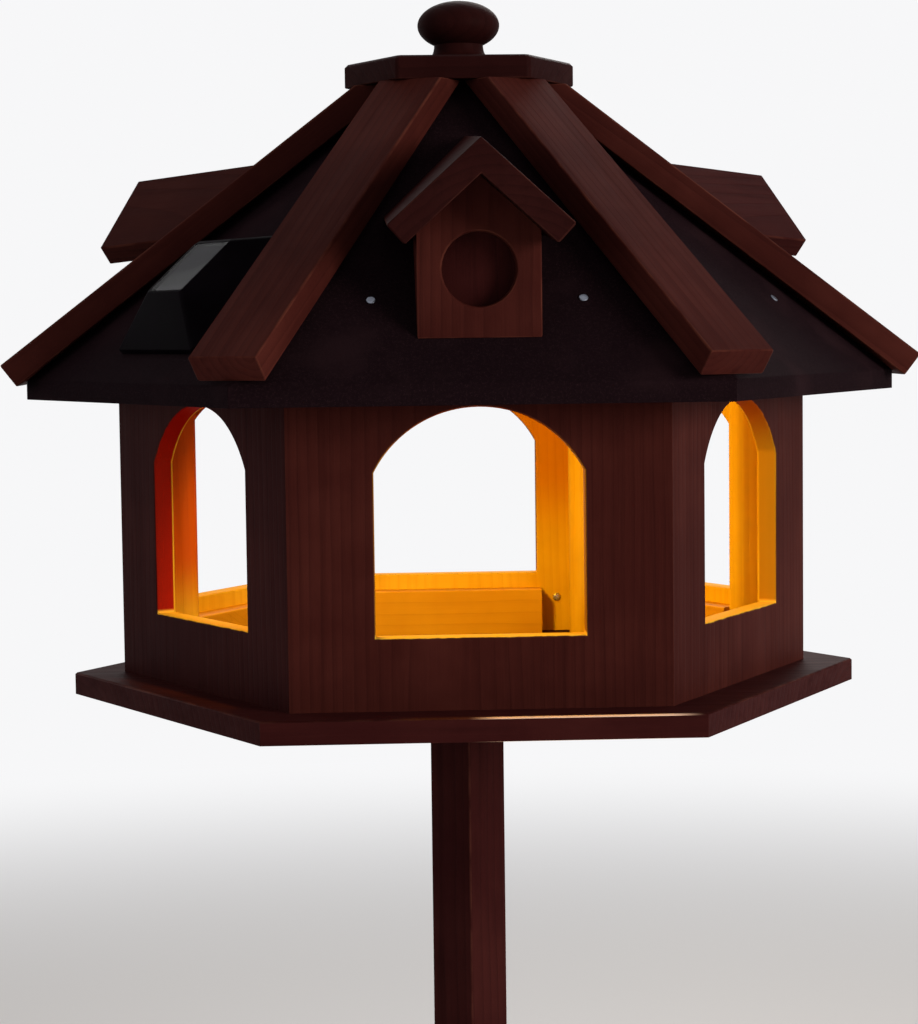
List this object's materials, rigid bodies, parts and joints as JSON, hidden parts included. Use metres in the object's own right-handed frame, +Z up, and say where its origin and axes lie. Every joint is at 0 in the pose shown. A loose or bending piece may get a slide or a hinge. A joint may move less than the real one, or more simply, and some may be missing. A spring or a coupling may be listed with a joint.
{
  "type": "bird table",
  "caption": "Wooden bird table with a hexagonal house, arched windows, felted roof with hip battens, small dormers and a solar lamp, on a post with crossed feet.",
  "frame": {"origin": "bottom centre of the whole table, on the ground under the middle of the post", "axes": "+Z is up along the post; -Y is the front, towards the wall below the front dormer; +X is to the right seen from the front"},
  "size_m": [0.796, 0.6994, 1.579],
  "materials": {
    "stained_wood": "dark red-brown wood stain over softwood, satin, grain showing",
    "bare_pine": "planed pine, untreated, on the inside of the house",
    "roofing_felt": "black bitumen felt with fine mineral grit, matte",
    "galvanised_steel": "dull galvanised steel",
    "zinc_screw": "zinc plated steel screws",
    "black_plastic": "moulded black plastic, fine matte",
    "button_plastic": "soft-touch plastic push button",
    "lamp_glass": "flat clear glass over the solar cell",
    "solar_cell": "dark blue silicon cell with thin silver lines",
    "lamp_lens": "frosted warm white lens, lit",
    "battery_sleeve": "plain shrink sleeve on a rechargeable cell",
    "circuit_board": "green circuit board with its light and switch"
  },
  "bodies": {
    "table": {"brace_back_left": "stained_wood", "brace_back_right": "stained_wood", "brace_front_left": "stained_wood", "brace_front_right": "stained_wood", "cap_plate": "stained_wood", "circuit_board": "circuit_board", "clout_nails": "galvanised_steel", "corner_posts": "bare_pine", "dormer_back_left_cheeks": "stained_wood", "dormer_back_left_gable": "stained_wood", "dormer_back_left_roof": "stained_wood", "dormer_back_right_cheeks": "stained_wood", "dormer_back_right_gable": "stained_wood", "dormer_back_right_roof": "stained_wood", "dormer_backings": "stained_wood", "dormer_front_cheeks": "stained_wood", "dormer_front_gable": "stained_wood", "dormer_front_roof": "stained_wood", "finial": "stained_wood", "floor_board": "stained_wood", "floor_cleats": "bare_pine", "foot_lower": "stained_wood", "foot_upper": "stained_wood", "hip_batten_back_left": "stained_wood", "hip_batten_back_right": "stained_wood", "hip_batten_front_left": "stained_wood", "hip_batten_front_right": "stained_wood", "hip_batten_left": "stained_wood", "hip_batten_right": "stained_wood", "lamp_base": "black_plastic", "lamp_battery": "battery_sleeve", "lamp_cover": "black_plastic", "lamp_cup": "black_plastic", "lamp_glass": "lamp_glass", "lamp_lens": "lamp_lens", "post": "stained_wood", "post_brackets": "galvanised_steel", "roof_board_back": "bare_pine", "roof_board_back_left": "bare_pine", "roof_board_back_right": "bare_pine", "roof_board_front": "bare_pine", "roof_board_front_left": "bare_pine", "roof_board_front_right": "bare_pine", "roof_felt_back": "roofing_felt", "roof_felt_back_left": "roofing_felt", "roof_felt_back_right": "roofing_felt", "roof_felt_front": "roofing_felt", "roof_felt_front_left": "roofing_felt", "roof_felt_front_right": "roofing_felt", "short_screws": "zinc_screw", "solar_cell": "solar_cell", "wall_back": "stained_wood", "wall_back_left": "stained_wood", "wall_back_right": "stained_wood", "wall_front": "stained_wood", "wall_front_left": "stained_wood", "wall_front_right": "stained_wood", "wood_screws": "zinc_screw"},
    "button": {"lamp_button": "button_plastic"}
  },
  "joints": [
    {"name": "lamp_button_press", "type": "slide", "parent": "table", "child": "button", "axis": [-0.5738, -0.3313, 0.749], "range_m": [0, 0.0025], "stiffness_N_per_m": 400, "springref_m": -0.001}
  ]
}
